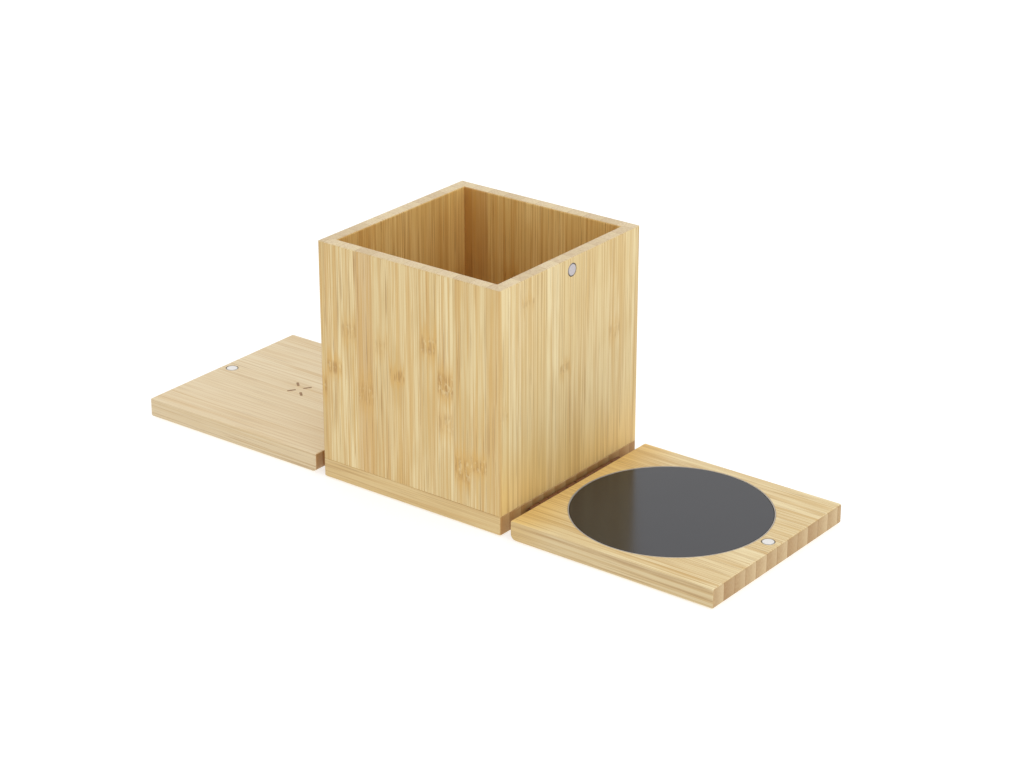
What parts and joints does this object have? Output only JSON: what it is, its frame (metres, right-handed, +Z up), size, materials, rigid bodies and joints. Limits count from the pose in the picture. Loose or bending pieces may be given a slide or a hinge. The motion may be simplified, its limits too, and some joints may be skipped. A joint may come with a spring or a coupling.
{
  "type": "desk pen holder",
  "caption": "Square bamboo pen box on a flat base, with hinged side panels that fold down onto the desk: a phone charging pad and a round glass mug warmer.",
  "frame": {"origin": "middle of the box's footprint, on the desk under the rubber feet", "axes": "+Z up; +X to the mug warmer panel; -X to the charger panel; +Y to the back, where the power inlet is; -Y to the front"},
  "size_m": [0.2664, 0.0846, 0.095],
  "materials": {
    "bamboo": "laminated bamboo strips, clear satin oil",
    "magnet_nickel": "nickel plate, satin",
    "cover_plastic": "fine grained black moulding",
    "screw_steel": "zinc plate",
    "foot_rubber": "matte black rubber",
    "circuit_board": "green solder mask",
    "inlet_steel": "drawn stainless shell",
    "hinge_steel": "dark brown bronze coating",
    "pin_steel": "ground steel wire",
    "lead_rubber": "black silicone jacket",
    "black_glass": "polished black glass",
    "seal_rubber": "pale grey silicone",
    "heater_film": "amber polyimide film",
    "insulation_felt": "pressed glass fibre felt",
    "sensor_resin": "black epoxy bead",
    "coil_copper": "enamelled copper litz",
    "ferrite": "dark grey sintered ferrite"
  },
  "bodies": {
    "holder": {"base_board": "bamboo", "front_wall": "bamboo", "back_wall": "bamboo", "right_wall": "bamboo", "left_wall": "bamboo", "right_wall_magnet": "magnet_nickel", "left_wall_magnet": "magnet_nickel", "base_cover": "cover_plastic", "base_cover_screws": "screw_steel", "base_feet": "foot_rubber", "power_board": "circuit_board", "power_board_screws": "screw_steel", "usb_c_inlet": "inlet_steel", "right_hinge_base_leaves": "hinge_steel", "left_hinge_base_leaves": "hinge_steel", "right_hinge_pins": "pin_steel", "left_hinge_pins": "pin_steel", "right_hinge_base_screws": "screw_steel", "left_hinge_base_screws": "screw_steel", "warmer_lead": "lead_rubber", "charger_lead": "lead_rubber"},
    "warmer": {"warmer_panel": "bamboo", "warmer_magnet": "magnet_nickel", "heating_glass": "black_glass", "glass_seal_ring": "seal_rubber", "heating_element": "heater_film", "insulation_pad": "insulation_felt", "temperature_sensor": "sensor_resin", "warmer_cover": "cover_plastic", "warmer_cover_screws": "screw_steel", "warmer_feet": "foot_rubber", "warmer_hinge_leaves": "hinge_steel", "warmer_hinge_screws": "screw_steel"},
    "charger": {"charger_panel": "bamboo", "charger_magnet": "magnet_nickel", "charging_coil": "coil_copper", "ferrite_shield": "ferrite", "charger_circuit": "circuit_board", "charger_cover": "cover_plastic", "charger_cover_screws": "screw_steel", "charger_feet": "foot_rubber", "charger_hinge_leaves": "hinge_steel", "charger_hinge_screws": "screw_steel"}
  },
  "joints": [
    {"name": "warmer_fold", "type": "hinge", "parent": "holder", "child": "warmer", "pos_m": [0.04425, 0, 0.00605], "axis": [0, -1, 0], "range_deg": [0, 90], "deforming": ["warmer_lead"]},
    {"name": "charger_fold", "type": "hinge", "parent": "holder", "child": "charger", "pos_m": [-0.04425, 0, 0.00605], "axis": [0, 1, 0], "range_deg": [0, 90], "deforming": ["charger_lead"]}
  ]
}
